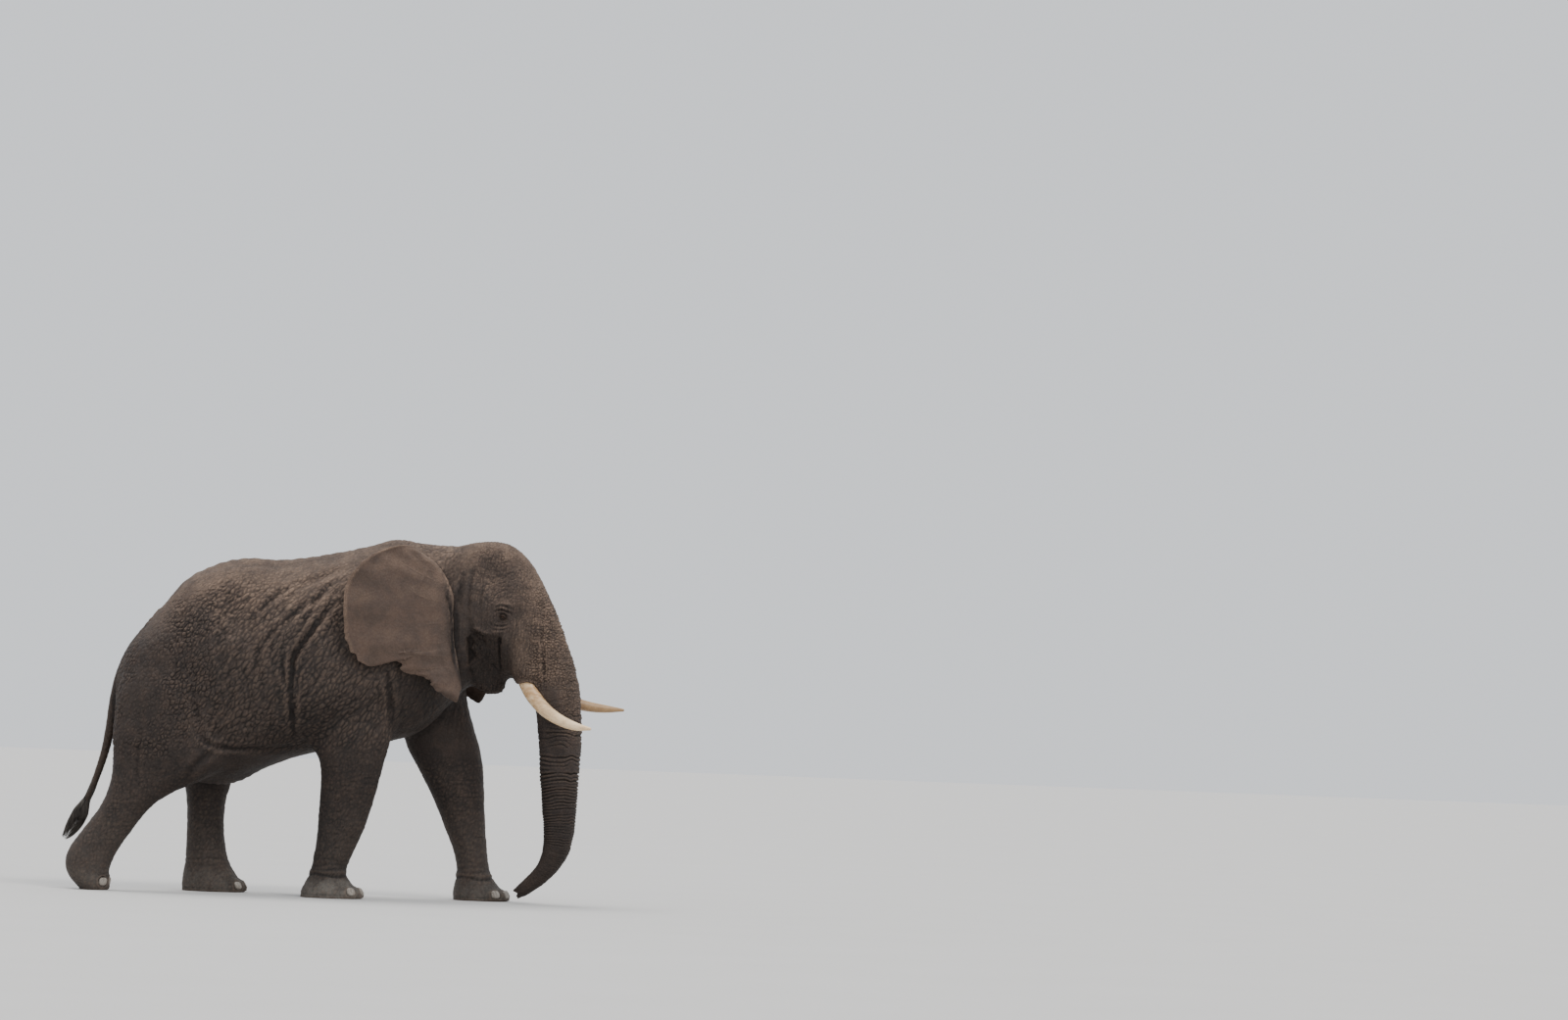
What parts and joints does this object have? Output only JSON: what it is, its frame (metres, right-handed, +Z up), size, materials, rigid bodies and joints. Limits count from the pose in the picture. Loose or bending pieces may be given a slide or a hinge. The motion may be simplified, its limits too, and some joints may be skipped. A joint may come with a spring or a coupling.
{
  "type": "life-size African bush elephant model",
  "caption": "Life-size museum-style model of a bull African bush elephant in mid-step, ears spread, trunk hanging, head turned to its right.",
  "frame": {"origin": "middle of the model's footprint on the floor, halfway along its length and halfway across its ears", "axes": "+X the way it walks, from tail to tusks; +Y towards its left side; +Z up"},
  "size_m": [5.0545, 1.7506, 3.2871],
  "materials": {
    "skin": "matt wrinkled grey-brown hide with dry dust",
    "ear_skin": "matt thin brown ear hide",
    "ivory": "satin ivory, stained tan",
    "horn": "dull pale horn",
    "hair": "coarse glossy black hair",
    "eye": "wet dark brown"
  },
  "bodies": {
    "root": {"torso": "skin", "neck": "skin", "head": "skin", "trunk_upper": "skin", "trunk_middle": "skin", "trunk_lower": "skin", "trunk_tip": "skin", "tail": "skin", "upper_leg_fore_right": "skin", "upper_leg_fore_left": "skin", "upper_leg_hind_right": "skin", "upper_leg_hind_left": "skin", "lower_leg_fore_right": "skin", "lower_leg_fore_left": "skin", "lower_leg_hind_right": "skin", "lower_leg_hind_left": "skin", "foot_fore_right": "skin", "foot_fore_left": "skin", "foot_hind_right": "skin", "foot_hind_left": "skin", "ear_right": "ear_skin", "ear_left": "ear_skin", "tusk_right": "ivory", "tusk_left": "ivory", "eye_right": "eye", "eye_left": "eye", "tail_tuft": "hair", "nail_fore_right_1": "horn", "nail_fore_right_2": "horn", "nail_fore_right_3": "horn", "nail_fore_right_4": "horn", "nail_fore_left_1": "horn", "nail_fore_left_2": "horn", "nail_fore_left_3": "horn", "nail_fore_left_4": "horn", "nail_hind_right_1": "horn", "nail_hind_right_2": "horn", "nail_hind_right_3": "horn", "nail_hind_left_1": "horn", "nail_hind_left_2": "horn", "nail_hind_left_3": "horn"}
  },
  "joints": []
}
